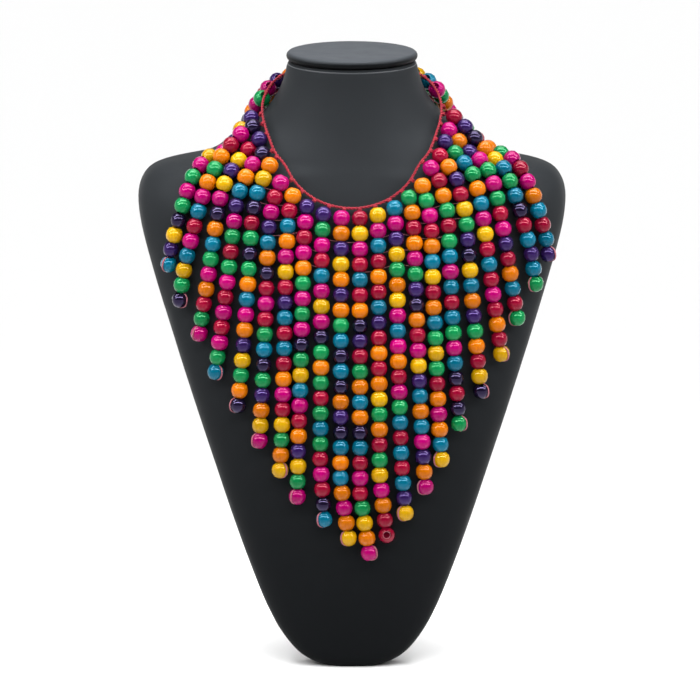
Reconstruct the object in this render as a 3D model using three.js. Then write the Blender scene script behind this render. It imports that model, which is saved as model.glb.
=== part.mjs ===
// A bib necklace of lacquered wooden beads, worn by a plain neck bust that stands on its
// pointed foot and a leg behind. Millimetres, +Z up, the chest faces -Y, and the origin is
// the middle of the bust's flat foot.
import * as THREE from 'three';
import { mergeVertices } from 'three/addons/utils/BufferGeometryUtils.js';

// Beads and strands
const beadDiameter = 10;
const beadLength = 8.8; // also the pitch along a strand
const beadEndDiameter = 4.2; // flat ring round the thread hole, where neighbours meet
const beadSides = 6;
const middleStrandBeads = 23;
const strandsEachSide = 15;
const strandSpacing = 10.4; // along the neck cord
const middleStrandOffset = 4.5; // the longest strand hangs a little to the right
const contactDistance = 10.1; // between the middles of beads that touch
const clearance = 0.35; // kept between pieces that touch
const bustClearance = 0.5; // kept between the beads and the bust
const turnStep = 3; // degrees that a bead turns at a time, away from a strand in its way
const largestTurn = 60;

// Neck cord and its clasp
const cordDiameter = 1.8;
const cordSides = 8;
const cordSteps = 80;
const claspLength = 12;
const claspDiameter = 5;
const claspSides = 12;
const claspEndShare = 0.7; // its ends are this share of the middle's width
const claspBarrelShare = 0.7; // the share of its length that is full width

// Bust
const bustSides = 40;
const capRadius = 38.3;
const capThickness = 5.4;
const capSides = 32;
const capRimSteps = 6; // facets round the rim
const legWidth = 58;
const legThickness = 5;
const legTop = { back: 62.8, height: 178 };
const legFoot = { back: 114, height: 0 };

// One row for each level of the bust. front, side and back are the depths of the chest's
// middle, of its widest line and of its back; the powers are those of a superellipse, where
// 2 is round and more is boxier.
const bustSections = [
  { height: 0, halfWidth: 15, front: -7, side: 0, back: 7, frontPower: 2.2, backPower: 2.6 },
  { height: 3, halfWidth: 24, front: -9.5, side: 0.5, back: 10.5, frontPower: 2.3, backPower: 3 },
  { height: 8, halfWidth: 31.6, front: -11, side: 1.5, back: 14, frontPower: 2.4, backPower: 4 },
  { height: 25, halfWidth: 44.7, front: -12, side: 6, back: 19, frontPower: 2.4, backPower: 5 },
  { height: 59, halfWidth: 59.7, front: -12.5, side: 13, back: 27, frontPower: 2.4, backPower: 5 },
  { height: 110, halfWidth: 78, front: -10.5, side: 25, back: 40, frontPower: 2.4, backPower: 5 },
  { height: 177, halfWidth: 100.7, front: -4.5, side: 42, back: 57, frontPower: 2.4, backPower: 5 },
  { height: 227, halfWidth: 116.4, front: 2.5, side: 55, back: 70, frontPower: 2.4, backPower: 5 },
  { height: 248, halfWidth: 122.1, front: 6, side: 60, back: 75, frontPower: 2.4, backPower: 5 },
  { height: 264, halfWidth: 124, front: 9.5, side: 65, back: 79.5, frontPower: 2.4, backPower: 5 },
  { height: 273, halfWidth: 122.2, front: 11.5, side: 67.5, back: 81.5, frontPower: 2.3, backPower: 4.5 },
  { height: 279, halfWidth: 118.2, front: 13, side: 69.5, back: 83, frontPower: 2.3, backPower: 4.5 },
  { height: 283, halfWidth: 111.2, front: 14, side: 70.5, back: 84, frontPower: 2.3, backPower: 4 },
  { height: 286, halfWidth: 99.5, front: 14.7, side: 71.5, back: 85, frontPower: 2.2, backPower: 4 },
  { height: 289, halfWidth: 84, front: 15.5, side: 72, back: 86, frontPower: 2.2, backPower: 3.5 },
  { height: 293, halfWidth: 76, front: 16.5, side: 72, back: 87, frontPower: 2.2, backPower: 3 },
  { height: 299, halfWidth: 68, front: 17.8, side: 71, back: 88.5, frontPower: 2.1, backPower: 2.6 },
  { height: 308, halfWidth: 56, front: 19.5, side: 68, back: 91, frontPower: 2, backPower: 2.3 },
  { height: 320, halfWidth: 46, front: 21.5, side: 64, back: 93.5, frontPower: 2, backPower: 2.1 },
  { height: 332, halfWidth: 40, front: 23, side: 61.5, back: 96, frontPower: 2, backPower: 2 },
  { height: 343.7, halfWidth: 36.5, front: 24.5, side: 61, back: 97.5, frontPower: 2, backPower: 2 },
];
const bustLevels = [
  0, 3, 8, 15, 25, 40, 59, 83, 110, 143, 177, 205, 227, 248, 264, 273, 279, 283, 286, 289, 293,
  299, 308, 320, 332, 343.7,
];

// Half of the neck cord's loop, from the middle of the chest round to the nape. Each point is
// then laid on the bust at the height of the bead centres.
const cordRoute = [
  { across: 0, back: 5.7, height: 266.8 },
  { across: 10, back: 5.9, height: 268 },
  { across: 19, back: 6.4, height: 271 },
  { across: 27, back: 7.8, height: 276 },
  { across: 33.5, back: 10.8, height: 282.5 },
  { across: 39, back: 14.8, height: 290 },
  { across: 44, back: 20.5, height: 297 },
  { across: 47.6, back: 28.5, height: 304.3 },
  { across: 50.5, back: 38, height: 310.5 },
  { across: 51.8, back: 48, height: 316.5 },
  { across: 51.8, back: 58, height: 322 },
  { across: 48.5, back: 69, height: 328 },
  { across: 42, back: 79, height: 331.5 },
  { across: 32, back: 90, height: 334 },
  { across: 16, back: 99, height: 336 },
  { across: 0, back: 102, height: 336.5 },
];

// How the strands hang, by their number counted from the middle: the lean at the neck cord and
// at the tip is in degrees outward from straight down, and it eases over so many beads. drift
// is how far a strand heads backward for each unit of its way, and is negative where the
// shoulder turns it forward.
const hangs = [
  { strand: 0, topLean: 0, tipLean: 0, ease: 4, drift: 0 },
  { strand: 3, topLean: 6, tipLean: 0, ease: 4, drift: 0 },
  { strand: 4, topLean: 8, tipLean: -1, ease: 4, drift: 0 },
  { strand: 5, topLean: 15, tipLean: -1, ease: 5, drift: -0.1 },
  { strand: 6, topLean: 25, tipLean: 0, ease: 5, drift: -0.2 },
  { strand: 7, topLean: 31, tipLean: 2, ease: 5, drift: -0.3 },
  { strand: 8, topLean: 36, tipLean: 3, ease: 5, drift: -0.4 },
  { strand: 9, topLean: 38, tipLean: 8, ease: 7, drift: -0.8 },
  { strand: 10, topLean: 38, tipLean: 8, ease: 7, drift: -0.8 },
  { strand: 11, topLean: 30, tipLean: 5, ease: 8, drift: 1.5 },
  { strand: 13, topLean: 28, tipLean: 6, ease: 6, drift: 1.4 },
  { strand: 15, topLean: 12, tipLean: 0, ease: 4, drift: 0.5 },
];

// The last beads of the longest strands swing to the right, less so the further a strand is from
// the middle of the swing. lean is in degrees, and fade is how many it loses at each strand.
const tipSwing = { beads: 4, middle: -0.5, lean: 10, fade: 3.5 };

const palette = ['#c8143c', '#ff8c14', '#1e82a0', '#e0128a', '#1e9650', '#4b2d6e', '#f5be1e'];

const beadRadius = beadDiameter / 2;
const cordRadius = cordDiameter / 2;
const beadLift = beadRadius + bustClearance;
const radians = Math.PI / 180;

// Numerical steps
const gradientStep = 0.05;
const mergeDistance = 0.001;
const layPasses = 5;
const stepPasses = 3;

// Reads one column of a table between its rows, without overshooting them.
function readTable(rows, key, column, value) {
  const last = rows.length - 1;
  const clamped = Math.min(Math.max(value, rows[0][key]), rows[last][key]);
  let low = 0;
  while (low < last - 1 && rows[low + 1][key] < clamped) low += 1;
  const slope = (index) => {
    if (index < 0 || index >= last) return 0;
    return (rows[index + 1][column] - rows[index][column]) / (rows[index + 1][key] - rows[index][key]);
  };
  const tangent = (index) => {
    const before = slope(index - 1);
    const after = slope(index);
    return before * after > 0 ? (2 * before * after) / (before + after) : 0;
  };
  const span = rows[low + 1][key] - rows[low][key];
  const t = (clamped - rows[low][key]) / span;
  const rise = rows[low + 1][column] - rows[low][column];
  const startTangent = tangent(low) * span;
  const endTangent = tangent(low + 1) * span;
  const curve = startTangent * t * (1 - t) ** 2 - endTangent * t ** 2 * (1 - t);
  return rows[low][column] + rise * (3 * t ** 2 - 2 * t ** 3) + curve;
}

function bustSection(height) {
  const read = (column) => readTable(bustSections, 'height', column, height);
  const side = read('side');
  return {
    halfWidth: read('halfWidth'),
    side,
    frontDepth: side - read('front'),
    backDepth: read('back') - side,
    frontPower: read('frontPower'),
    backPower: read('backPower'),
  };
}

// The bust's surface is where this is zero; it is negative inside.
function bustField(point) {
  const section = bustSection(point.z);
  const inFront = point.y < section.side;
  const depth = inFront ? section.frontDepth : section.backDepth;
  const power = inFront ? section.frontPower : section.backPower;
  const across = Math.abs(point.x) / section.halfWidth;
  const along = Math.abs(point.y - section.side) / depth;
  return (across ** power + along ** power) ** (1 / power) - 1;
}

function bustGradient(point) {
  const change = (axis) => {
    const ahead = bustField(point.clone().addScaledVector(axis, gradientStep));
    const behind = bustField(point.clone().addScaledVector(axis, -gradientStep));
    return (ahead - behind) / (2 * gradientStep);
  };
  return new THREE.Vector3(
    change(new THREE.Vector3(1, 0, 0)),
    change(new THREE.Vector3(0, 1, 0)),
    change(new THREE.Vector3(0, 0, 1)),
  );
}

// Lays a point on the bust, lifted off its surface.
function layOnBust(point, lift) {
  const laid = point.clone();
  for (let pass = 0; pass < layPasses; pass += 1) {
    const gradient = bustGradient(laid);
    laid.addScaledVector(gradient, -bustField(laid) / gradient.lengthSq());
  }
  return laid.addScaledVector(bustGradient(laid).normalize(), lift);
}

function flatten(direction, normal) {
  return direction.clone().addScaledVector(normal, -direction.dot(normal)).normalize();
}

function closedGeometry(geometry) {
  geometry.deleteAttribute('normal');
  geometry.deleteAttribute('uv');
  return mergeVertices(geometry, mergeDistance);
}

function makeMesh(name, geometry, color, roughness) {
  const material = new THREE.MeshStandardMaterial({ color, roughness, metalness: 0, flatShading: true });
  const mesh = new THREE.Mesh(closedGeometry(geometry), material);
  mesh.name = name;
  return mesh;
}

// A unit cylinder whose rings become the bust's levels.
function makeBustBody() {
  const rows = bustLevels.length - 1;
  const geometry = new THREE.CylinderGeometry(1, 1, rows, bustSides, rows);
  geometry.rotateX(Math.PI / 2);
  const position = geometry.attributes.position;
  const point = new THREE.Vector3();
  for (let index = 0; index < position.count; index += 1) {
    point.fromBufferAttribute(position, index);
    const height = bustLevels[Math.round(point.z + rows / 2)];
    const section = bustSection(height);
    const inFront = point.y < 0;
    const power = inFront ? section.frontPower : section.backPower;
    const depth = inFront ? section.frontDepth : section.backDepth;
    const across = Math.sign(point.x) * Math.abs(point.x) ** (2 / power);
    const along = Math.sign(point.y) * Math.abs(point.y) ** (2 / power);
    position.setXYZ(index, section.halfWidth * across, section.side + depth * along, height);
  }
  return makeMesh('bust_body', geometry, '#2a2c2e', 0.5);
}

// A flat disc with a fully rounded rim, lying level on the neck.
function makeCap() {
  const top = bustSections.at(-1);
  const rim = capThickness / 2;
  const profile = [new THREE.Vector2(0, -rim)];
  for (let step = 0; step <= capRimSteps; step += 1) {
    const angle = (step / capRimSteps - 0.5) * Math.PI;
    profile.push(new THREE.Vector2(capRadius - rim + rim * Math.cos(angle), rim * Math.sin(angle)));
  }
  profile.push(new THREE.Vector2(0, rim));
  const geometry = new THREE.LatheGeometry(profile, capSides);
  geometry.rotateX(Math.PI / 2);
  const mesh = makeMesh('bust_cap', geometry, '#3a3d40', 0.45);
  mesh.position.set(0, top.side, top.height + clearance + rim);
  return mesh;
}

// A board that leans against the bust's back and stands flat on the ground.
function makeLeg() {
  const shape = new THREE.Shape();
  shape.moveTo(legFoot.back, legFoot.height);
  shape.lineTo(legTop.back, legTop.height);
  shape.lineTo(legTop.back - legThickness, legTop.height);
  shape.lineTo(legFoot.back - legThickness, legFoot.height);
  const geometry = new THREE.ExtrudeGeometry(shape, { depth: legWidth, bevelEnabled: false });
  geometry.translate(0, 0, -legWidth / 2);
  const sideways = new THREE.Matrix4().makeBasis(
    new THREE.Vector3(0, 1, 0),
    new THREE.Vector3(0, 0, 1),
    new THREE.Vector3(1, 0, 0),
  );
  geometry.applyMatrix4(sideways);
  return makeMesh('bust_leg', geometry, '#222425', 0.6);
}

// The whole loop of the neck cord, open at the nape where the clasp sits.
function makeCordCurve() {
  const right = cordRoute.map((row) => new THREE.Vector3(row.across, row.back, row.height));
  const left = right.slice(1, -1).map((point) => new THREE.Vector3(-point.x, point.y, point.z));
  const loop = [...right.reverse(), ...left].map((point) => layOnBust(point, beadLift));
  return new THREE.CatmullRomCurve3(loop, true, 'centripetal');
}

function makeNeckCord(loop) {
  const gap = (claspLength / 2 + clearance) / loop.getLength();
  const points = [];
  for (let step = 0; step <= cordSteps; step += 1) {
    points.push(loop.getPointAt(gap + (1 - 2 * gap) * (step / cordSteps)));
  }
  const shape = new THREE.Shape();
  shape.absarc(0, 0, cordRadius, 0, 2 * Math.PI);
  const outline = new THREE.Shape(shape.getSpacedPoints(cordSides).slice(0, -1));
  const geometry = new THREE.ExtrudeGeometry(outline, {
    steps: cordSteps,
    extrudePath: new THREE.CatmullRomCurve3(points),
  });
  return makeMesh('neck_cord', geometry, '#d8323c', 0.8);
}

// A plain barrel between the cord's two ends at the nape.
function makeClasp(loop) {
  const half = claspLength / 2;
  const end = (claspDiameter / 2) * claspEndShare;
  const barrel = half * claspBarrelShare;
  const profile = [
    new THREE.Vector2(0, -half),
    new THREE.Vector2(end, -half),
    new THREE.Vector2(claspDiameter / 2, -barrel),
    new THREE.Vector2(claspDiameter / 2, barrel),
    new THREE.Vector2(end, half),
    new THREE.Vector2(0, half),
  ];
  const geometry = new THREE.LatheGeometry(profile, claspSides);
  geometry.rotateZ(Math.PI / 2);
  const mesh = makeMesh('neck_clasp', geometry, '#5a3a1e', 0.5);
  mesh.position.copy(loop.getPointAt(0));
  return mesh;
}

// Pushes a bead's centre out of the bust, and leaves one that hangs clear where it is.
function restOnBust(point) {
  const distance = bustField(point) / bustGradient(point).length();
  return distance < beadLift ? layOnBust(point, beadLift) : point.clone();
}

// The point on the bust, or clear of it, that is so far from the previous one.
function stepTo(previous, point, distance) {
  let next = point;
  for (let pass = 0; pass < stepPasses; pass += 1) {
    next = restOnBust(next).sub(previous).setLength(distance).add(previous);
  }
  return next;
}

// The next bead of a strand. Where it would press into the neighbouring strand, it turns away
// from that strand, by no more than it must.
function nextBead(previous, heading, distance, neighbour) {
  const stepAlong = (direction) => {
    return stepTo(previous, previous.clone().addScaledVector(direction, distance), distance);
  };
  const straight = stepAlong(heading);
  const distanceTo = (point) => (other) => other.distanceTo(point);
  const isClear = (point) => Math.min(...neighbour.map(distanceTo(point))) >= contactDistance;
  if (neighbour.length === 0 || isClear(straight)) return straight;
  const nearest = neighbour.reduce((best, other) => (
    other.distanceTo(straight) < best.distanceTo(straight) ? other : best));
  const away = flatten(straight.clone().sub(nearest), heading);
  let next = straight;
  for (let turn = turnStep; turn <= largestTurn && !isClear(next); turn += turnStep) {
    const turned = heading.clone().multiplyScalar(Math.cos(turn * radians));
    turned.addScaledVector(away, Math.sin(turn * radians));
    next = stepAlong(turned);
  }
  return next;
}

// The bead centres of one strand, hung from its place on the neck cord beside its neighbour.
function makeStrandRoute(loop, strand, neighbour) {
  const length = loop.getLength();
  const along = 0.5 - (middleStrandOffset + strand * strandSpacing) / length;
  const anchor = loop.getPointAt(along);
  const cordDirection = loop.getTangentAt(along);
  const read = (column) => readTable(hangs, 'strand', column, Math.abs(strand));
  const beads = middleStrandBeads - Math.abs(strand);
  const swing = Math.max(tipSwing.lean - tipSwing.fade * Math.abs(strand - tipSwing.middle), 0);
  const headingAt = (bead) => {
    const eased = Math.min(bead / read('ease'), 1);
    const lean = THREE.MathUtils.lerp(read('topLean'), read('tipLean'), eased) * radians;
    const heading = new THREE.Vector3(Math.sign(strand) * Math.sin(lean), 0, -Math.cos(lean));
    heading.x += bead >= beads - tipSwing.beads ? Math.sin(swing * radians) : 0;
    heading.y = read('drift') * (1 - eased);
    return heading.normalize();
  };
  const first = stepTo(anchor, anchor.clone().add(headingAt(0)), beadLength);
  const slant = Math.abs(first.sub(anchor).normalize().dot(cordDirection));
  const reach = (cordRadius + clearance + (slant * beadEndDiameter) / 2) / Math.sqrt(1 - slant ** 2);
  const centres = [nextBead(anchor, headingAt(0), beadLength / 2 + reach, neighbour)];
  for (let bead = 1; bead < beads; bead += 1) {
    centres.push(nextBead(centres[bead - 1], headingAt(bead), beadLength, neighbour));
  }
  return centres;
}

// Every strand's route, laid from the middle outward on both sides.
function makeStrandRoutes(loop) {
  const routes = [makeStrandRoute(loop, 0, [])];
  for (let strand = 1; strand <= strandsEachSide; strand += 1) {
    routes.unshift(makeStrandRoute(loop, -strand, routes[0]));
    routes.push(makeStrandRoute(loop, strand, routes.at(-1)));
  }
  return routes;
}

// A turned row of beads, bent along the strand's centres.
function makeStrand(name, centres, color) {
  const last = centres.length - 1;
  const profile = [new THREE.Vector2(0, -0.5)];
  for (let bead = 0; bead <= last; bead += 1) {
    profile.push(new THREE.Vector2(beadEndDiameter / 2, bead - 0.5));
    profile.push(new THREE.Vector2(beadRadius, bead));
  }
  profile.push(new THREE.Vector2(beadEndDiameter / 2, last + 0.5), new THREE.Vector2(0, last + 0.5));
  const geometry = new THREE.LatheGeometry(profile, beadSides);
  const position = geometry.attributes.position;
  const curve = new THREE.CatmullRomCurve3(centres);
  const point = new THREE.Vector3();
  for (let index = 0; index < position.count; index += 1) {
    point.fromBufferAttribute(position, index);
    const inside = Math.min(Math.max(point.y / last, 0), 1);
    const centre = curve.getPoint(inside);
    const axis = curve.getTangent(inside);
    centre.addScaledVector(axis, (point.y - inside * last) * beadLength);
    const out = flatten(bustGradient(centre), axis);
    const across = axis.clone().cross(out);
    centre.addScaledVector(across, point.x).addScaledVector(out, point.z);
    position.setXYZ(index, centre.x, centre.y, centre.z);
  }
  return makeMesh(name, geometry, color, 0.25);
}

function makeNecklace() {
  const necklace = new THREE.Group();
  const loop = makeCordCurve();
  necklace.add(makeNeckCord(loop), makeClasp(loop));
  makeStrandRoutes(loop).forEach((centres, index) => {
    const name = `strand_${String(index + 1).padStart(2, '0')}`;
    necklace.add(makeStrand(name, centres, palette[index % palette.length]));
  });
  return necklace;
}

const model = new THREE.Group();
model.add(makeBustBody(), makeCap(), makeLeg(), makeNecklace());

export default model;
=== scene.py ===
# A bib necklace of dyed, lacquered wooden beads on a black display bust.
import math
import random

import bmesh
import bpy
from mathutils import Matrix, Vector


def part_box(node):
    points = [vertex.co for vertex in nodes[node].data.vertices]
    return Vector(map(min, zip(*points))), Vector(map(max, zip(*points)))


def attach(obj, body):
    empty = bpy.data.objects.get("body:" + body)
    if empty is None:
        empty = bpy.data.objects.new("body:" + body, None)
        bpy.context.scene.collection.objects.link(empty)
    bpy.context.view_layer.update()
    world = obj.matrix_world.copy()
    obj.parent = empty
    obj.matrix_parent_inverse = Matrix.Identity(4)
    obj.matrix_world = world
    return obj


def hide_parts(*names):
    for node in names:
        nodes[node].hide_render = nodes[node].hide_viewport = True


mm = 0.001
mergeDistance = 0.005 * mm  # joins the loose triangles of a CAD mesh
quadAngle = math.radians(60)
near = 0.1 * mm  # how close counts as the same place
touching = 0.01 * mm

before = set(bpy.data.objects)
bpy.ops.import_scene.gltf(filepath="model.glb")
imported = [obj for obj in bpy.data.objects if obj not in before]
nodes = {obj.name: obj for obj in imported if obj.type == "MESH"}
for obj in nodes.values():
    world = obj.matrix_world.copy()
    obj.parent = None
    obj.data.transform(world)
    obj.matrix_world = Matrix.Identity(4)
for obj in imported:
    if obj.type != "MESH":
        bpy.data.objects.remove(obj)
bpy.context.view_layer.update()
strandNames = sorted(name for name in nodes if name.startswith("strand_"))


def deselectAll():
    bpy.ops.object.select_all(action="DESELECT")


def makeActive(piece):
    deselectAll()
    piece.select_set(True)
    bpy.context.view_layer.objects.active = piece


def addModifier(piece, kind, **settings):
    # adds a modifier and applies it at once
    modifier = piece.modifiers.new(kind, kind)
    for name, value in settings.items():
        setattr(modifier, name, value)
    makeActive(piece)
    bpy.ops.object.modifier_apply(modifier=modifier.name)


def selectWhere(piece, test):
    # in edit mode: selects the vertices whose place passes the test
    bpy.ops.mesh.select_mode(type="VERT")
    bpy.ops.mesh.select_all(action="DESELECT")
    bm = bmesh.from_edit_mesh(piece.data)
    for vertex in bm.verts:
        if test(vertex.co):
            vertex.select_set(True)
    bm.select_flush_mode()
    bmesh.update_edit_mesh(piece.data)


def copyNode(nodeName, pieceName):
    # a copy of a CAD node with its loose triangles merged into one skin of quads
    piece = bpy.data.objects.new(pieceName, nodes[nodeName].data.copy())
    bpy.context.scene.collection.objects.link(piece)
    makeActive(piece)
    bpy.ops.object.mode_set(mode="EDIT")
    bpy.ops.mesh.select_all(action="SELECT")
    bpy.ops.mesh.remove_doubles(threshold=mergeDistance)
    bpy.ops.mesh.tris_convert_to_quads(face_threshold=quadAngle, shape_threshold=quadAngle)
    bpy.ops.object.mode_set(mode="OBJECT")
    return piece


def finishPiece(piece, materials, replaced=()):
    piece.data.materials.clear()
    for material in materials:
        piece.data.materials.append(material)
    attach(piece, "root")
    if replaced:
        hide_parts(*replaced)


def joinPieces(pieces, name):
    deselectAll()
    for piece in pieces:
        piece.select_set(True)
    bpy.context.view_layer.objects.active = pieces[0]
    bpy.ops.object.join()
    pieces[0].name = name
    return pieces[0]


def tubeAlong(name, routes, radius, roundness=1):
    # one mesh of round tubes, each along its own list of points
    curve = bpy.data.curves.new(name, "CURVE")
    curve.dimensions = "3D"
    curve.bevel_depth = radius
    curve.bevel_resolution = roundness
    curve.use_fill_caps = True
    for route in routes:
        spline = curve.splines.new("POLY")
        spline.points.add(len(route) - 1)
        for point, place in zip(spline.points, route):
            point.co = (*place, 1)
    piece = bpy.data.objects.new(name, curve)
    bpy.context.scene.collection.objects.link(piece)
    makeActive(piece)
    bpy.ops.object.convert(target="MESH")
    piece = bpy.context.view_layer.objects.active
    bpy.ops.object.shade_smooth()
    return piece


# Materials

def hexToLinear(hexColor):
    channels = [int(hexColor[i:i + 2], 16) / 255 for i in (1, 3, 5)]
    return [c / 12.92 if c <= 0.04045 else ((c + 0.055) / 1.055) ** 2.4 for c in channels] + [1]


def addNode(material, kind, settings=None, links=None):
    # settings are node properties or input values, links are inputs fed by (node, output)
    node = material.node_tree.nodes.new(kind)
    for name, value in (settings or {}).items():
        if name in node.inputs:
            node.inputs[name].default_value = value
        else:
            setattr(node, name, value)
    for name, (source, output) in (links or {}).items():
        material.node_tree.links.new(source.outputs[output], node.inputs[name])
    return node


def newMaterial(name, **shaderSettings):
    material = bpy.data.materials.new(name)
    material.use_nodes = True
    shader = material.node_tree.nodes["Principled BSDF"]
    for socket, value in shaderSettings.items():
        shader.inputs[socket].default_value = value
    return material, shader


def link(material, source, output, target, socket):
    material.node_tree.links.new(source.outputs[output], target.inputs[socket])


beadDyes = {
    "magenta": {"hex": "#d2007e", "share": 16, "width": 1.02},
    "crimson": {"hex": "#ae0a38", "share": 16, "width": 0.98},
    "orange": {"hex": "#ff8800", "share": 15, "width": 1.02},
    "teal": {"hex": "#027c9c", "share": 15, "width": 0.99},
    "violet": {"hex": "#381f60", "share": 9, "width": 0.96},
    "aubergine": {"hex": "#1d1430", "share": 6, "width": 0.95},
    "green": {"hex": "#129c56", "share": 14, "width": 0.99},
    "yellow": {"hex": "#fcc004", "share": 9, "width": 1.01},
}
beadFinish = {
    "grainWidth": 0.6,
    "grainLength": 5,
    "grainDetail": 3,
    "grainRoughness": 0.6,
    "grainShare": 0.5,
    "darkest": 0.24,
    "darkestAt": 0.15,
    "lightest": 0.54,
    "lightestAt": 0.85,
    "roughness": 0.05,
    "ior": 1.53,
    "glossTint": 0.66,
    "swellSize": 2.2,
    "swellDetail": 2,
    "swellStrength": 0.07,
    "swellDepth": 0.1,
}


def lacqueredBeech(dye):
    # turned beech dyed through and tumbled in dyed lacquer: clear deep colour, faint grain, hard
    # gloss that carries some of the dye
    color = hexToLinear(beadDyes[dye]["hex"])
    strongest = max(color[:3])
    glossTint = [1 - beadFinish["glossTint"] * (1 - c / strongest) for c in color[:3]] + [1]
    material, shader = newMaterial(
        "dyedLacqueredBeech_" + dye,
        **{
            "Roughness": beadFinish["roughness"],
            "IOR": beadFinish["ior"],
            "Specular Tint": glossTint,
        },
    )
    dark = [c * beadFinish["darkest"] for c in color[:3]] + [1]
    light = [c * beadFinish["lightest"] for c in color[:3]] + [1]
    place = addNode(material, "ShaderNodeTexCoord")
    stretch = addNode(
        material,
        "ShaderNodeMapping",
        {"Scale": (1, 1, beadFinish["grainWidth"] / beadFinish["grainLength"])},
        {"Vector": (place, "Object")},
    )
    grain = addNode(
        material,
        "ShaderNodeTexNoise",
        {
            "Scale": 1 / (beadFinish["grainWidth"] * mm),
            "Detail": beadFinish["grainDetail"],
            "Roughness": beadFinish["grainRoughness"],
        },
        {"Vector": (stretch, "Vector")},
    )
    tone = addNode(material, "ShaderNodeAttribute", {"attribute_name": "tone"})
    blend = addNode(material, "ShaderNodeMath", {"operation": "MULTIPLY_ADD"})
    link(material, grain, "Fac", blend, 0)
    blend.inputs[1].default_value = beadFinish["grainShare"]
    link(material, tone, "Fac", blend, 2)
    ramp = addNode(material, "ShaderNodeValToRGB", {}, {"Fac": (blend, "Value")})
    ramp.color_ramp.elements[0].position = beadFinish["darkestAt"]
    ramp.color_ramp.elements[0].color = dark
    ramp.color_ramp.elements[1].position = beadFinish["lightestAt"]
    ramp.color_ramp.elements[1].color = light
    link(material, ramp, "Color", shader, "Base Color")
    swell = addNode(
        material,
        "ShaderNodeTexNoise",
        {"Scale": 1 / (beadFinish["swellSize"] * mm), "Detail": beadFinish["swellDetail"]},
        {"Vector": (place, "Object")},
    )
    bump = addNode(
        material,
        "ShaderNodeBump",
        {"Strength": beadFinish["swellStrength"], "Distance": beadFinish["swellDepth"] * mm},
        {"Height": (swell, "Fac")},
    )
    link(material, bump, "Normal", shader, "Normal")
    return material


cordFinish = {
    "fibreSize": 0.35,
    "fibreDetail": 4,
    "fibreRoughness": 0.7,
    "fibreStrength": 0.5,
    "fibreDepth": 0.1,
    "paintedValleyShade": 0.4,
    "valleyAt": 0.3,
    "crownAt": 0.6,
    "roughness": 0.62,
    "gloss": 0.3,
    "sheen": 0.05,
    "sheenRoughness": 0.5,
}


def waxedCord(name, hexColor):
    # waxed cotton, dyed and twisted: matt, with a fine fibre fuzz and painted shade in the valleys
    # between fibres
    material, shader = newMaterial(
        name,
        **{
            "Roughness": cordFinish["roughness"],
            "Specular IOR Level": cordFinish["gloss"],
            "Sheen Weight": cordFinish["sheen"],
            "Sheen Roughness": cordFinish["sheenRoughness"],
        },
    )
    place = addNode(material, "ShaderNodeTexCoord")
    fibre = addNode(
        material,
        "ShaderNodeTexNoise",
        {
            "Scale": 1 / (cordFinish["fibreSize"] * mm),
            "Detail": cordFinish["fibreDetail"],
            "Roughness": cordFinish["fibreRoughness"],
        },
        {"Vector": (place, "Object")},
    )
    color = hexToLinear(hexColor)
    # painted shade: the ramp darkens the low spots of the fibre bump, the valleys between fibres
    ramp = addNode(material, "ShaderNodeValToRGB", {}, {"Fac": (fibre, "Fac")})
    ramp.color_ramp.elements[0].color = [c * cordFinish["paintedValleyShade"] for c in color[:3]] + [1]
    ramp.color_ramp.elements[0].position = cordFinish["valleyAt"]
    ramp.color_ramp.elements[1].color = color
    ramp.color_ramp.elements[1].position = cordFinish["crownAt"]
    link(material, ramp, "Color", shader, "Base Color")
    bump = addNode(
        material,
        "ShaderNodeBump",
        {"Strength": cordFinish["fibreStrength"], "Distance": cordFinish["fibreDepth"] * mm},
        {"Height": (fibre, "Fac")},
    )
    link(material, bump, "Normal", shader, "Normal")
    return material


leatheretteFinish = {
    "pebbleSize": 0.9,
    "pebbleStrength": 0.3,
    "pebbleDepth": 0.06,
    "creaseSize": 14,
    "creaseDetail": 3,
    "creaseShare": 0.08,
    "creaseRange": (0.3, 0.7),
    "roughness": (0.44, 0.53),
    "ior": 1.29,
    "tint": (0.84, 0.92, 1, 1),
}
# from the foot to the neck, and from the lower rim of the cap to its top: painted shade at the low
# end, painted light at the high end
bustCover = {"low": 0, "high": 300, "paintedShadeTone": "#08090a", "paintedLightTone": "#232527", "shine": 0.14}
capCover = {"low": 347, "high": 349.4, "paintedShadeTone": "#060708", "paintedLightTone": "#3c3f43", "shine": 0.26}


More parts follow.
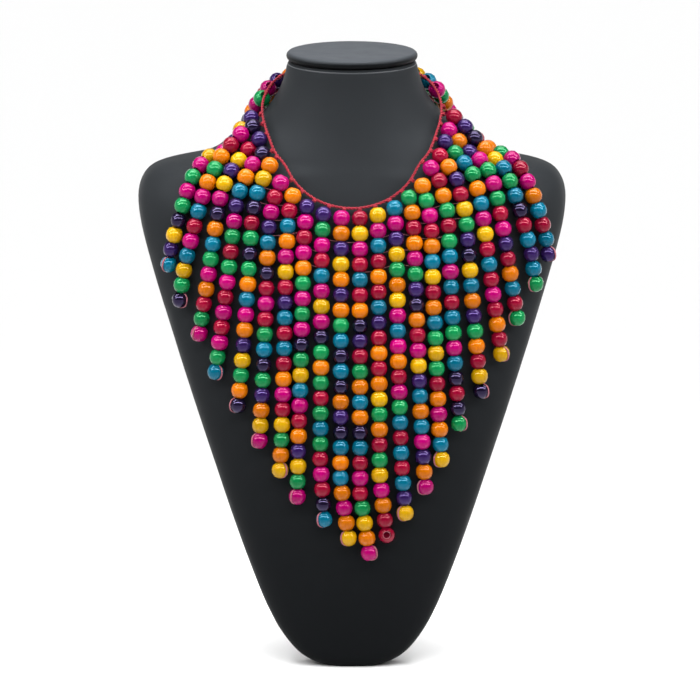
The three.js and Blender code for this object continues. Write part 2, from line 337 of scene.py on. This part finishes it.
def blackLeatherette(name, cover):
    # embossed vinyl over foam: near-black, satin, with a fine pebble, broad soft tension marks and
    # painted light that grows towards the top
    material, shader = newMaterial(
        name,
        **{
            "IOR": leatheretteFinish["ior"],
            "Specular IOR Level": cover["shine"],
            "Specular Tint": leatheretteFinish["tint"],
        },
    )
    place = addNode(material, "ShaderNodeTexCoord")
    pebble = addNode(
        material,
        "ShaderNodeTexVoronoi",
        {"Scale": 1 / (leatheretteFinish["pebbleSize"] * mm), "feature": "F1"},
        {"Vector": (place, "Object")},
    )
    crease = addNode(
        material,
        "ShaderNodeTexNoise",
        {
            "Scale": 1 / (leatheretteFinish["creaseSize"] * mm),
            "Detail": leatheretteFinish["creaseDetail"],
        },
        {"Vector": (place, "Object")},
    )
    # painted light: the base colour turns paler towards the top as if lit from above, with crease
    # noise mixed in a little
    split = addNode(material, "ShaderNodeSeparateXYZ", {}, {"Vector": (place, "Object")})
    height = {"From Min": cover["low"] * mm, "From Max": cover["high"] * mm}
    paintedTopLight = addNode(material, "ShaderNodeMapRange", height, {"Value": (split, "Z")})
    creaseAndPaintedLight = addNode(material, "ShaderNodeMath", {"operation": "MULTIPLY_ADD"})
    link(material, crease, "Fac", creaseAndPaintedLight, 0)
    creaseAndPaintedLight.inputs[1].default_value = leatheretteFinish["creaseShare"]
    link(material, paintedTopLight, "Result", creaseAndPaintedLight, 2)
    ramp = addNode(material, "ShaderNodeValToRGB", {}, {"Fac": (creaseAndPaintedLight, "Value")})
    ramp.color_ramp.elements[0].color = hexToLinear(cover["paintedShadeTone"])
    ramp.color_ramp.elements[0].position = leatheretteFinish["creaseShare"] / 2
    ramp.color_ramp.elements[1].color = hexToLinear(cover["paintedLightTone"])
    link(material, ramp, "Color", shader, "Base Color")
    creaseMin, creaseMax = leatheretteFinish["creaseRange"]
    roughMin, roughMax = leatheretteFinish["roughness"]
    satin = addNode(
        material,
        "ShaderNodeMapRange",
        {"From Min": creaseMin, "From Max": creaseMax, "To Min": roughMin, "To Max": roughMax},
        {"Value": (crease, "Fac")},
    )
    link(material, satin, "Result", shader, "Roughness")
    bump = addNode(
        material,
        "ShaderNodeBump",
        {
            "Strength": leatheretteFinish["pebbleStrength"],
            "Distance": leatheretteFinish["pebbleDepth"] * mm,
        },
        {"Height": (pebble, "Distance")},
    )
    link(material, bump, "Normal", shader, "Normal")
    return material


boardFinish = {
    "toothSize": 0.8,
    "toothDetail": 5,
    "toothRoughness": 0.75,
    "toothStrength": 0.4,
    "toothDepth": 0.15,
    "dark": "#0d0d0e",
    "light": "#2a2a2c",
    "roughness": 0.85,
}


def blackBoard():
    # grey board wrapped in black fibrous paper: flat black with a felt-like tooth
    material, shader = newMaterial("paperWrappedBoard", **{"Roughness": boardFinish["roughness"]})
    place = addNode(material, "ShaderNodeTexCoord")
    tooth = addNode(
        material,
        "ShaderNodeTexNoise",
        {
            "Scale": 1 / (boardFinish["toothSize"] * mm),
            "Detail": boardFinish["toothDetail"],
            "Roughness": boardFinish["toothRoughness"],
        },
        {"Vector": (place, "Object")},
    )
    ramp = addNode(material, "ShaderNodeValToRGB", {}, {"Fac": (tooth, "Fac")})
    ramp.color_ramp.elements[0].color = hexToLinear(boardFinish["dark"])
    ramp.color_ramp.elements[1].color = hexToLinear(boardFinish["light"])
    link(material, ramp, "Color", shader, "Base Color")
    bump = addNode(
        material,
        "ShaderNodeBump",
        {"Strength": boardFinish["toothStrength"], "Distance": boardFinish["toothDepth"] * mm},
        {"Height": (tooth, "Fac")},
    )
    link(material, bump, "Normal", shader, "Normal")
    return material


beadMaterials = {dye: lacqueredBeech(dye) for dye in beadDyes}
cordMaterial = waxedCord("waxedCottonCord", "#940c26")
tieThread = waxedCord("paleTieThread", "#a8626e")
leatherette = blackLeatherette("embossedBlackLeatherette", bustCover)
capLeatherette = blackLeatherette("capLeatheretteWithPaintedLight", capCover)
boardPaper = blackBoard()
# the polished edge of the turned-in cover, a thin grey line: partly lamp light on its gloss, partly
# a painted highlight in its grey colour
weltLook = {"Base Color": hexToLinear("#3a3d41"), "Roughness": 0.42}
seamWelt = newMaterial("weltWithPaintedHighlight", **weltLook)[0]
print("materials ready")


# Reading the strands and the cord back from the CAD nodes

def walkRings(nodeName, pickStart):
    # ring centres along a turned or swept node, from the vertices that pickStart gives
    bm = bmesh.new()
    bm.from_mesh(nodes[nodeName].data)
    bmesh.ops.remove_doubles(bm, verts=bm.verts, dist=mergeDistance)
    layer = pickStart(bm)
    seen = set(layer)
    centres = []
    while layer:
        centres.append(sum((v.co for v in layer), Vector()) / len(layer))
        ahead = {edge.other_vert(v) for v in layer for edge in v.link_edges} - seen
        seen |= ahead
        layer = list(ahead)
    bm.free()
    return centres


def topPole(bm):
    # the end cap's middle lies in the middle of its neighbours, which no ring vertex does
    def offset(v):
        around = [edge.other_vert(v).co for edge in v.link_edges]
        return (v.co - sum(around, Vector()) / len(around)).length

    poles = [v for v in bm.verts if offset(v) < near]
    return [max(poles, key=lambda v: v.co.z)]


def readStrand(name):
    # past the rings of an end, every second ring goes round the middle of a bead
    rings = walkRings(name, topPole)
    return rings[2:-2:2]


cordCorners = 8  # round the end of the cord's CAD node


def readCord():
    # from the end of the cord that goes into the clasp
    low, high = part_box("neck_clasp")
    end = Vector((high.x, (low.y + high.y) / 2, (low.z + high.z) / 2))

    def endRing(bm):
        return sorted(bm.verts, key=lambda v: (v.co - end).length)[:cordCorners]

    return walkRings("neck_cord", endRing)


strands = [readStrand(name) for name in strandNames]
cordRoute = readCord()
cordLength = sum((b - a).length for a, b in zip(cordRoute, cordRoute[1:]))
print("strands read:", len(strands), "cord:", round(cordLength / mm, 1), "mm")


# One turned bead, copied for every place on the threads

bead = {
    "diameter": 10,
    "length": 8.7,
    "endDiameter": 4.7,
    "holeDiameter": 3.2,
    "holeSink": 2.6,
    "sides": 12,
    "rings": 7,
    "shoulder": 1.03,
    "sharpAngle": 50,
}


def modelBead():
    # a ball with its ends cut flat, its shoulders filled out like a barrel's, and a sunk hole
    radius = bead["diameter"] / 2 * mm
    endHeight = bead["length"] / 2 * mm
    bpy.ops.mesh.primitive_uv_sphere_add(
        segments=bead["sides"], ring_count=bead["rings"], radius=radius
    )
    piece = bpy.context.active_object
    bpy.ops.object.mode_set(mode="EDIT")
    selectWhere(piece, lambda place: abs(place.z) > radius - touching)
    bpy.ops.mesh.delete(type="VERT")
    ringAngle = math.pi / bead["rings"]
    endRing = (bead["rings"] / 2 - 1) * ringAngle
    shoulderRing = endRing - ringAngle
    for side in (1, -1):
        onShoulder = side * radius * math.sin(shoulderRing)
        selectWhere(piece, lambda place: abs(place.z - onShoulder) < near)
        bpy.ops.transform.resize(value=(bead["shoulder"], bead["shoulder"], 1))
        onEnd = side * radius * math.sin(endRing)
        selectWhere(piece, lambda place: abs(place.z - onEnd) < near)
        across = bead["endDiameter"] / 2 * mm / (radius * math.cos(endRing))
        bpy.ops.transform.resize(value=(across, across, 1))
        bpy.ops.transform.translate(value=(0, 0, side * endHeight - onEnd))
        bpy.ops.mesh.extrude_edges_move()
        inward = bead["holeDiameter"] / bead["endDiameter"]
        bpy.ops.transform.resize(value=(inward, inward, 1))
        bpy.ops.transform.translate(value=(0, 0, -side * bead["holeSink"] * mm))
        bpy.ops.mesh.edge_face_add()
    bpy.ops.mesh.select_all(action="SELECT")
    bpy.ops.mesh.normals_make_consistent(inside=False)
    bpy.ops.object.mode_set(mode="OBJECT")
    bpy.ops.object.shade_smooth_by_angle(angle=math.radians(bead["sharpAngle"]))
    return piece


def axisAt(centres, index):
    before = centres[max(index - 1, 0)]
    after = centres[min(index + 1, len(centres) - 1)]
    return (after - before).normalized()


def drawDyes(chance, count):
    # no two neighbours on a thread share a dye
    dyes = []
    shares = [dye["share"] for dye in beadDyes.values()]
    while len(dyes) < count:
        pick = chance.choices(list(beadDyes), shares)[0]
        if not dyes or pick != dyes[-1]:
            dyes.append(pick)
    return dyes


beadPlay = {
    "tilt": 4,
    "tipTilt": 16,
    "size": 0.02,
    "longer": 0.02,
    "middleTone": 0.25,
    "tone": 0.16,
    "seed": 23,
}
endOn = {  # its last bead shows its hole
    "strand": "beads_17",
    "dye": "crimson",
    "tilt": -102,
    "ringRadius": 2.05,
    "ringLift": 0.1,
    "ringSteps": 20,
}
endOnCentres = strands[int(endOn["strand"][-2:]) - 1]


def threadingOf(name, count, chance):
    # the dye and the tilt of each bead on a strand, from the neck cord down
    beads = []
    for index, dye in enumerate(drawDyes(chance, count)):
        play = beadPlay["tipTilt"] if index == count - 1 else beadPlay["tilt"]
        tilts = (chance.uniform(-play, play), chance.uniform(-play, play))
        beads.append({"dye": dye, "tilts": tilts})
    if name == endOn["strand"]:
        beads[-1] = {"dye": endOn["dye"], "tilts": (endOn["tilt"], 0)}
    return beads


def makeStrand(name, centres, master, chance):
    copies = []
    for index, threaded in enumerate(threadingOf(name, len(centres), chance)):
        piece = bpy.data.objects.new("bead", master.data.copy())
        bpy.context.scene.collection.objects.link(piece)
        width = beadDyes[threaded["dye"]]["width"] + chance.uniform(-1, 1) * beadPlay["size"]
        forward, sideways = (math.radians(angle) for angle in threaded["tilts"])
        tilt = Matrix.Rotation(forward, 4, "X") @ Matrix.Rotation(sideways, 4, "Y")
        turn = axisAt(centres, index).to_track_quat("Z", "X").to_matrix().to_4x4()
        spin = Matrix.Rotation(chance.uniform(0, 2 * math.pi), 4, "Z")
        size = Matrix.Diagonal((width, width, min(width + beadPlay["longer"], 1), 1))
        piece.data.transform(Matrix.Translation(centres[index]) @ tilt @ turn @ spin @ size)
        tone = piece.data.attributes.new("tone", "FLOAT", "POINT")
        level = beadPlay["middleTone"] + chance.uniform(-1, 1) * beadPlay["tone"]
        tone.data.foreach_set("value", [level] * len(piece.data.vertices))
        piece.data.materials.append(beadMaterials[threaded["dye"]])
        copies.append(piece)
    return joinPieces(copies, name)


def makeStrands():
    master = modelBead()
    chance = random.Random(beadPlay["seed"])
    for name, centres in zip(strandNames, strands):
        strand = makeStrand("beads_" + name[-2:], centres, master, chance)
        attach(strand, "root")
        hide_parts(name)
    bpy.data.objects.remove(master)


makeStrands()
print("beads threaded:", sum(len(centres) for centres in strands))


# Threads and neck cord

cord = {"plyRadius": 0.4, "plyOffset": 0.46, "twistPitch": 4.6, "pointsPerTurn": 8}
thread = {
    "radius": 0.24,
    "pair": 0.28,
    "tipLift": 0.16,
    "forward": (-1, -0.35),
    "loopSteps": 12,
    "hug": 0.8,
    "seed": 7,
}


def smoothRoute(route, spacing):
    # evenly spaced points along a route
    lengths = [0]
    for a, b in zip(route, route[1:]):
        lengths.append(lengths[-1] + (b - a).length)
    count = int(lengths[-1] / spacing)
    points = []
    segment = 0
    for step in range(count + 1):
        along = lengths[-1] * step / count
        while segment < len(route) - 2 and lengths[segment + 1] < along:
            segment += 1
        share = (along - lengths[segment]) / (lengths[segment + 1] - lengths[segment])
        points.append(route[segment].lerp(route[segment + 1], share))
    return points


def twistedPlies(route, settings, plies=2):
    # each ply winds round the route once in a twist pitch
    spacing = settings["twistPitch"] * mm / settings["pointsPerTurn"]
    points = smoothRoute(route, spacing)
    out = (points[1] - points[0]).normalized().orthogonal()
    routes = [[] for _ in range(plies)]
    for index, point in enumerate(points):
        axis = axisAt(points, index)
        out = (out - axis * out.dot(axis)).normalized()
        across = axis.cross(out)
        for ply in range(plies):
            angle = 2 * math.pi * (index / settings["pointsPerTurn"] + ply / plies)
            offset = out * math.cos(angle) + across * math.sin(angle)
            routes[ply].append(point + offset * settings["plyOffset"] * mm)
    return routes


def makeNeckCord():
    piece = tubeAlong("neck_cord_plies", twistedPlies(cordRoute, cord), cord["plyRadius"] * mm)
    finishPiece(piece, [cordMaterial], ["neck_cord"])


def nearestOnCord(place):
    index = min(range(len(cordRoute)), key=lambda i: (cordRoute[i] - place).length)
    return cordRoute[index], axisAt(cordRoute, index)


def tipLoop(centre, axis, side, shift):
    # out of the last hole, round the outside of the bead and back between the last two
    points = []
    for step in range(thread["loopSteps"] + 1):
        angle = math.pi * step / thread["loopSteps"]
        across, length = (abs(wave) ** thread["hug"] for wave in (math.sin(angle), math.cos(angle)))
        out = side * (bead["diameter"] / 2 + thread["tipLift"]) * across
        length *= bead["length"] / 2 + thread["tipLift"]
        along = axis * math.copysign(length, math.cos(angle))
        aside = axis.cross(side) * shift * math.sin(angle)
        points.append(centre + (out + along + aside) * mm)
    return points


def makeThreads():
    # a thread runs up each strand, and its two ends go round the last bead at one side
    chance = random.Random(thread["seed"])
    routes = []
    loops = []
    for centres in strands:
        anchor = nearestOnCord(centres[0])[0]
        axis = axisAt(centres, len(centres) - 1)
        sideways = Vector((chance.choice((-1, 1)), chance.uniform(*thread["forward"]), 0))
        side = (sideways - axis * sideways.dot(axis)).normalized()
        routes.append([anchor, *centres])
        shifts = [] if centres is endOnCentres else [-thread["pair"], thread["pair"]]
        for shift in shifts:
            loops.append(tipLoop(centres[-1], axis, side, shift))
    piece = tubeAlong("strand_threads", routes, thread["radius"] * mm)
    finishPiece(piece, [cordMaterial])
    piece = tubeAlong("tip_loops", loops, thread["radius"] * mm)
    finishPiece(piece, [tieThread])


tie = {
    "strands": range(9, 22),
    "rows": (2, 3, 4),
    "share": 0.6,
    "radius": 0.11,
    "sag": 0.7,
    "steps": 6,
    "seed": 11,
}


def hangingThread(start, end, sag, steps):
    points = []
    for step in range(steps + 1):
        droop = Vector((0, -sag, -sag)) * math.sin(math.pi * step / steps) * mm
        points.append(start.lerp(end, step / steps) + droop)
    return points


def makeTies():
    # fine threads hold some of the middle strands side by side, hooked on between two beads
    chance = random.Random(tie["seed"])
    routes = []
    for number in tie["strands"]:
        for row in tie["rows"]:
            if chance.random() < tie["share"]:
                here, ahead = strands[number], strands[number + 1]
                start = (here[row - 1] + here[row]) / 2
                hooks = [(a + b) / 2 for a, b in zip(ahead, ahead[1:])]
                end = min(hooks, key=lambda hook: (hook - start).length)
                routes.append(hangingThread(start, end, tie["sag"], tie["steps"]))
    # the end-on bead's pale hole ring, a painted highlight, is drawn with the ties
    routes.append(paintedHoleHighlight())
    piece = tubeAlong("strand_ties", routes, tie["radius"] * mm)
    finishPiece(piece, [tieThread])


def paintedHoleHighlight():
    # a pale turn of thread round the mouth of the hole that the end-on bead shows: a painted
    # highlight on the hole's rim
    tilt = Matrix.Rotation(math.radians(endOn["tilt"]), 3, "X")
    facing = tilt @ Vector((0, 0, -1))
    up = tilt @ Vector((0, 1, 0))
    mouth = endOnCentres[-1] + facing * (bead["length"] / 2 + endOn["ringLift"]) * mm
    points = []
    for step in range(endOn["ringSteps"] + 1):
        angle = 2 * math.pi * step / endOn["ringSteps"]
        out = up * math.cos(angle) + Vector((math.sin(angle), 0, 0))
        points.append(mouth + out * endOn["ringRadius"] * mm)
    return points


knot = {
    "turns": 3,
    "radius": 0.92,
    "spacing": 0.7,
    "thickness": 0.32,
    "drop": 0.14,
    "pointsPerTurn": 8,
}


def makeKnots():
    # each strand is tied on by a few turns of thread just below the cord
    routes = []
    for centres in strands:
        anchor, axis = nearestOnCord(centres[0])
        anchor = anchor.lerp(centres[0], knot["drop"])
        out = axis.orthogonal().normalized()
        across = axis.cross(out)
        points = []
        for step in range(knot["turns"] * knot["pointsPerTurn"] + 1):
            angle = 2 * math.pi * step / knot["pointsPerTurn"]
            along = (step / knot["pointsPerTurn"] - knot["turns"] / 2) * knot["spacing"] * mm
            offset = out * math.cos(angle) + across * math.sin(angle)
            points.append(anchor + axis * along + offset * knot["radius"] * mm)
        routes.append(points)
    piece = tubeAlong("cord_knots", routes, knot["thickness"] * mm)
    finishPiece(piece, [cordMaterial])


clasp = {"dye": "crimson", "levels": 2}


def makeClasp():
    piece = copyNode("neck_clasp", "clasp_barrel")
    addModifier(piece, "SUBSURF", levels=clasp["levels"], render_levels=clasp["levels"])
    makeActive(piece)
    bpy.ops.object.shade_smooth()
    finishPiece(piece, [beadMaterials[clasp["dye"]]], ["neck_clasp"])


makeNeckCord()
makeThreads()
makeTies()
makeKnots()
makeClasp()
print("cord, threads, knots and clasp made")


# Bust

bust = {
    "creaseTop": 0.85,
    "levels": 2,
    "swellPasses": 3,
    "seamRadius": 36.9,
    "seamWidth": 0.8,
    "seamDrop": 1.9,
    "seamSegments": (96, 8),
    "legBevel": 1.2,
    "legBevelSteps": 3,
    "legSharpAngle": 35,
}


def swell(piece):
    # moves each corner out by what smoothing takes off, so the smooth skin keeps the CAD's outline
    corners = [v.co.copy() for v in piece.data.vertices]
    for _ in range(bust["swellPasses"]):
        smooth = bpy.data.objects.new("smooth", piece.data.copy())
        bpy.context.scene.collection.objects.link(smooth)
        addModifier(smooth, "SUBSURF", levels=bust["levels"], render_levels=bust["levels"])
        for corner, vertex, smoothed in zip(corners, piece.data.vertices, smooth.data.vertices):
            vertex.co += corner - smoothed.co
        bpy.data.objects.remove(smooth)


def makeBustBody():
    piece = copyNode("bust_body", "bust_skin")
    low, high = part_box("bust_body")
    makeActive(piece)
    bpy.ops.object.mode_set(mode="EDIT")
    for level in (low.z, high.z):
        selectWhere(piece, lambda place: abs(place.z - level) < touching)
        bpy.ops.transform.edge_crease(value=bust["creaseTop"])
    bpy.ops.object.mode_set(mode="OBJECT")
    swell(piece)
    addModifier(piece, "SUBSURF", levels=bust["levels"], render_levels=bust["levels"])
    makeActive(piece)
    bpy.ops.object.shade_smooth()
    finishPiece(piece, [leatherette], ["bust_body"])


def makeCap():
    piece = copyNode("bust_cap", "cap_skin")
    addModifier(piece, "SUBSURF", levels=bust["levels"], render_levels=bust["levels"])
    makeActive(piece)
    bpy.ops.object.shade_smooth()
    finishPiece(piece, [capLeatherette], ["bust_cap"])


def makeSeam():
    # the welt where the neck's cover is turned in, a thin raised line under the cap
    low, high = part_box("bust_cap")
    middle = (low + high) / 2
    bpy.ops.mesh.primitive_torus_add(
        major_segments=bust["seamSegments"][0],
        minor_segments=bust["seamSegments"][1],
        major_radius=bust["seamRadius"] * mm,
        minor_radius=bust["seamWidth"] / 2 * mm,
        location=(middle.x, middle.y, low.z - bust["seamDrop"] * mm),
    )
    piece = bpy.context.active_object
    piece.name = "neck_seam"
    bpy.ops.object.transform_apply(location=True, rotation=True, scale=True)
    bpy.ops.object.shade_smooth()
    finishPiece(piece, [seamWelt])


def makeLeg():
    piece = copyNode("bust_leg", "leg_board")
    addModifier(piece, "BEVEL", width=bust["legBevel"] * mm, segments=bust["legBevelSteps"])
    makeActive(piece)
    bpy.ops.object.shade_smooth_by_angle(angle=math.radians(bust["legSharpAngle"]))
    finishPiece(piece, [boardPaper], ["bust_leg"])


makeBustBody()
makeCap()
makeSeam()
makeLeg()
print("bust made")


# Floor, light and camera

studio = {"width": 160, "tone": "#f2f2f2", "roughness": 0.9, "middle": (0, 0.02, 0.2)}


def makeFloor():
    bpy.ops.mesh.primitive_plane_add(size=studio["width"])
    floor = bpy.context.active_object
    floor.name = "studio_floor"
    # matt white paper that reaches past the picture on every side
    look = {"Roughness": studio["roughness"], "Base Color": hexToLinear(studio["tone"])}
    floor.data.materials.append(newMaterial("mattPaper", **look)[0])


def addSoftbox(name, place, aim, size, power, spread):
    # spread is the angle that the box's grid lets through
    light = bpy.data.lights.new(name, "AREA")
    light.shape = "RECTANGLE"
    light.size, light.size_y = size
    light.energy = power
    light.spread = math.radians(spread)
    lamp = bpy.data.objects.new(name, light)
    bpy.context.scene.collection.objects.link(lamp)
    lamp.location = place
    lamp.rotation_euler = (Vector(aim) - Vector(place)).to_track_quat("-Z", "Y").to_euler()


view = {
    "elevation": 11.4,
    "distance": 4.8,
    "aim": (-0.00115, 0.020, 0.1812),
    "frameWidth": 0.404,
    "sensor": 36,
}


def makeCamera():
    data = bpy.data.cameras.new("camera")
    data.sensor_width = view["sensor"]
    data.lens = view["sensor"] * view["distance"] / view["frameWidth"]
    camera = bpy.data.objects.new("camera", data)
    bpy.context.scene.collection.objects.link(camera)
    tilt = math.radians(view["elevation"])
    back = Vector((0, -math.cos(tilt), math.sin(tilt)))
    camera.location = Vector(view["aim"]) + back * view["distance"]
    camera.rotation_euler = (math.radians(90) - tilt, 0, 0)
    bpy.context.scene.camera = camera


strips = {
    "elevations": (44, 86),
    "azimuths": range(-56, 57, 14),
    "distance": 1.3,
    "size": (0.33, 0.1),
    "power": 0.088,
    "spread": 26,
}
canopy = {
    "elevation": 40,
    "azimuth": 0,
    "distance": 1.8,
    "size": (1.6, 0.9),
    "power": 0.1,
    "spread": 30,
}
overhead = {"strength": 3.3, "angle": 60, "back": 10}
sky = {"low": 0.1, "high": 0.3, "front": -0.5, "side": -0.1, "horizon": 0.97, "dim": 0.08}


def addRaised(name, settings, elevation, azimuth):
    # a softbox aimed at the bust, raised in front of it and then turned towards one side
    middle = Vector(studio["middle"])
    rise = math.radians(elevation)
    forward = Vector((0, -math.cos(rise), math.sin(rise)))
    across = Vector((1, 0, 0))
    turn = math.radians(azimuth)
    place = middle + (forward * math.cos(turn) + across * math.sin(turn)) * settings["distance"]
    addSoftbox(name, place, middle, settings["size"], settings["power"], settings["spread"])


def makeLight():
    # two rows of narrow boxes give each bead its arcs, the canopy behind them fills in between,
    # and a broad even light from overhead keeps the whole floor pale
    for elevation in strips["elevations"]:
        for azimuth in strips["azimuths"]:
            addRaised("strip_%d_%d" % (elevation, azimuth), strips, elevation, azimuth)
    addRaised("canopy", canopy, canopy["elevation"], canopy["azimuth"])
    light = bpy.data.lights.new("overhead", "SUN")
    light.energy = overhead["strength"]
    light.angle = math.radians(overhead["angle"])
    lamp = bpy.data.objects.new("overhead", light)
    bpy.context.scene.collection.objects.link(lamp)
    lamp.rotation_euler = (math.radians(-overhead["back"]), 0, 0)
    makeSky()
    bpy.context.scene.view_settings.view_transform = "Standard"


def makeSky():
    # pale at the horizon behind and beside the bust, where it shows, and dim elsewhere
    world = bpy.data.worlds.new("studio")
    world.use_nodes = True
    bpy.context.scene.world = world
    background = world.node_tree.nodes["Background"]
    place = addNode(world, "ShaderNodeTexCoord")
    split = addNode(world, "ShaderNodeSeparateXYZ", {}, {"Vector": (place, "Generated")})
    ends = {"To Min": sky["horizon"], "To Max": sky["dim"]}
    upward = {"From Min": sky["low"], "From Max": sky["high"], **ends}
    upwardFade = addNode(world, "ShaderNodeMapRange", upward, {"Value": (split, "Z")})
    forward = {"From Min": sky["side"], "From Max": sky["front"], **ends}
    forwardFade = addNode(world, "ShaderNodeMapRange", forward, {"Value": (split, "Y")})
    darker = addNode(world, "ShaderNodeMath", {"operation": "MINIMUM"})
    link(world, upwardFade, "Result", darker, 0)
    link(world, forwardFade, "Result", darker, 1)
    background.inputs["Color"].default_value = (1, 1, 1, 1)
    link(world, darker, "Value", background, "Strength")


makeFloor()
makeLight()
makeCamera()
print("studio ready")
